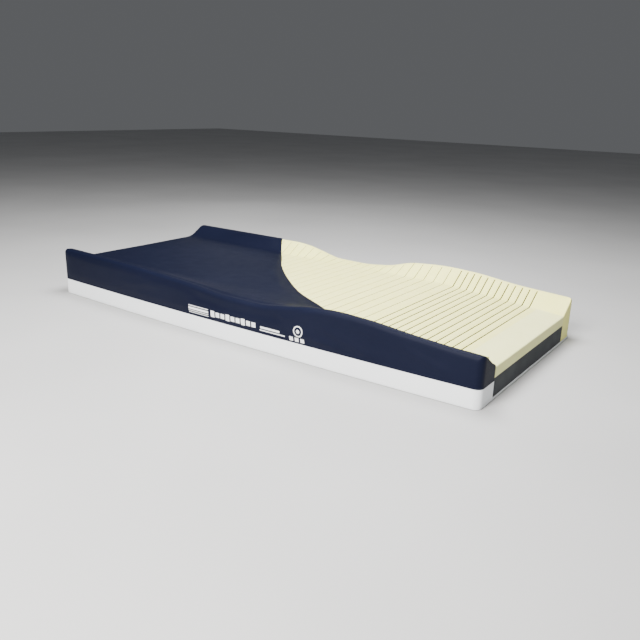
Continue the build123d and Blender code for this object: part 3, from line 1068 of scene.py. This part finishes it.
def metal_material():
    """Plated zinc: fine brushing, worn brighter in places."""
    material, tree, shader, _ = new_material("zip_metal", (0.42, 0.42, 0.43), 0.32, 0.5)
    place = tree.nodes.new("ShaderNodeTexCoord").outputs["Object"]
    shader.inputs["Metallic"].default_value = 1.0
    wear = noise_texture(tree, place, 260.0, 4.0)
    tree.links.new(colour_ramp(tree, wear, ((0.35, (0.34, 0.34, 0.35)), (0.7, (0.52, 0.52, 0.53)))),
                   shader.inputs["Base Color"])
    brushed = noise_texture(tree, place, 700.0, 2.0, (1, 1, 12))
    tree.links.new(colour_ramp(tree, brushed, ((0.3, (0.26, 0.26, 0.26)), (0.7, (0.42, 0.42, 0.42)))),
                   shader.inputs["Roughness"])
    bump(tree, shader, brushed, 0.10, 0.0001)
    return material


# ---------------------------------------------------------------- stage
# Camera: place, turn as (yaw, pitch, roll) in degrees, lens and sensor in millimetres
CAMERA_PLACE = (1.6972, -2.2328, 0.866)
CAMERA_TURN = (35.39, 17.72, 1.64)
CAMERA_LENS = 38.27
CAMERA_SENSOR = 36
FLOOR_HALF = 14.0
FLOOR_DROP = 0.0005


def build_camera():
    """Camera looking at the near side from beyond the foot end, slightly rolled."""
    yaw, pitch, roll = (math.radians(angle) for angle in CAMERA_TURN)
    back = Vector((math.sin(yaw) * math.cos(pitch), -math.cos(yaw) * math.cos(pitch), math.sin(pitch)))
    right = (-back).cross(Vector((0, 0, 1))).normalized()
    up = right.cross(-back)
    turned = right * math.cos(roll) + up * math.sin(roll)
    raised = up * math.cos(roll) - right * math.sin(roll)
    data = bpy.data.cameras.new("camera")
    data.sensor_width = CAMERA_SENSOR
    data.lens = CAMERA_LENS
    camera = bpy.data.objects.new("camera", data)
    bpy.context.scene.collection.objects.link(camera)
    matrix = Matrix((turned, raised, back)).transposed().to_4x4()
    matrix.translation = Vector(CAMERA_PLACE)
    camera.matrix_world = matrix
    bpy.context.scene.camera = camera


def area_light(name, place, target, size, power, colour):
    data = bpy.data.lights.new(name, "AREA")
    data.shape = "RECTANGLE"
    data.size, data.size_y = size
    data.energy = power
    data.color = colour
    light = bpy.data.objects.new(name, data)
    bpy.context.scene.collection.objects.link(light)
    light.location = place
    light.visible_camera = False
    light.rotation_euler = (Vector(target) - Vector(place)).to_track_quat("-Z", "Y").to_euler()


def build_stage():
    material, tree, shader, _ = new_material("floor", (0.50, 0.50, 0.50), 0.85, 0.2)
    place = tree.nodes.new("ShaderNodeTexCoord")
    tone = noise_texture(tree, place.outputs["Object"], 1.2, 2.0)
    tree.links.new(colour_ramp(tree, tone, ((0.3, (0.48, 0.48, 0.48)), (0.7, (0.52, 0.52, 0.52)))),
                   shader.inputs["Base Color"])
    corners = [(FLOOR_HALF * i, FLOOR_HALF * j, 0) for i, j in ((-1, -1), (1, -1), (1, 1), (-1, 1))]
    floor = link("floor", corners, [(0, 1, 2, 3)], material)
    floor.location.z = -FLOOR_DROP
    world = bpy.data.worlds.new("world")
    bpy.context.scene.world = world
    world.use_nodes = True
    background = world.node_tree.nodes["Background"]
    background.inputs["Color"].default_value = (0.92, 0.95, 1.0, 1)
    background.inputs["Strength"].default_value = 0.12
    area_light("key", (0.7, -3.2, 2.2), (0, 0, 0.1), (1.6, 1.6), 360, (1.0, 0.98, 0.95))
    area_light("sheen", (-2.40, 2.30, 0.80), (-0.45, 0.12, 0.15), (0.9, 0.5), 2.0, (1.0, 1.0, 1.0))
    area_light("top", (0.1, 0.1, 2.6), (0, 0, 0.1), (1.6, 1.4), 160, (1.0, 1.0, 1.0))


build_camera()
navy, navy_tree, navy_shader, navy_place, navy_colour = fabric_material(
    "navy_fabric", (0.0034, 0.0048, 0.0150), (0.0048, 0.0064, 0.0185), 0.52, 0.08, 0.0024, 0.0
)
marks = mix(navy_tree, print_mask(navy_tree, navy_place), navy_colour, (0.80, 0.81, 0.82))
navy_tree.links.new(marks, navy_shader.inputs["Base Color"])
white = fabric_material("white_fabric", (0.84, 0.87, 0.89), (0.88, 0.90, 0.91), 0.5, 0.3, 0.0024, 0.0)[0]
build_foam()
build_top_cover(navy)
build_bottom_cover(white)
build_stitching()
build_zip()
build_stage()
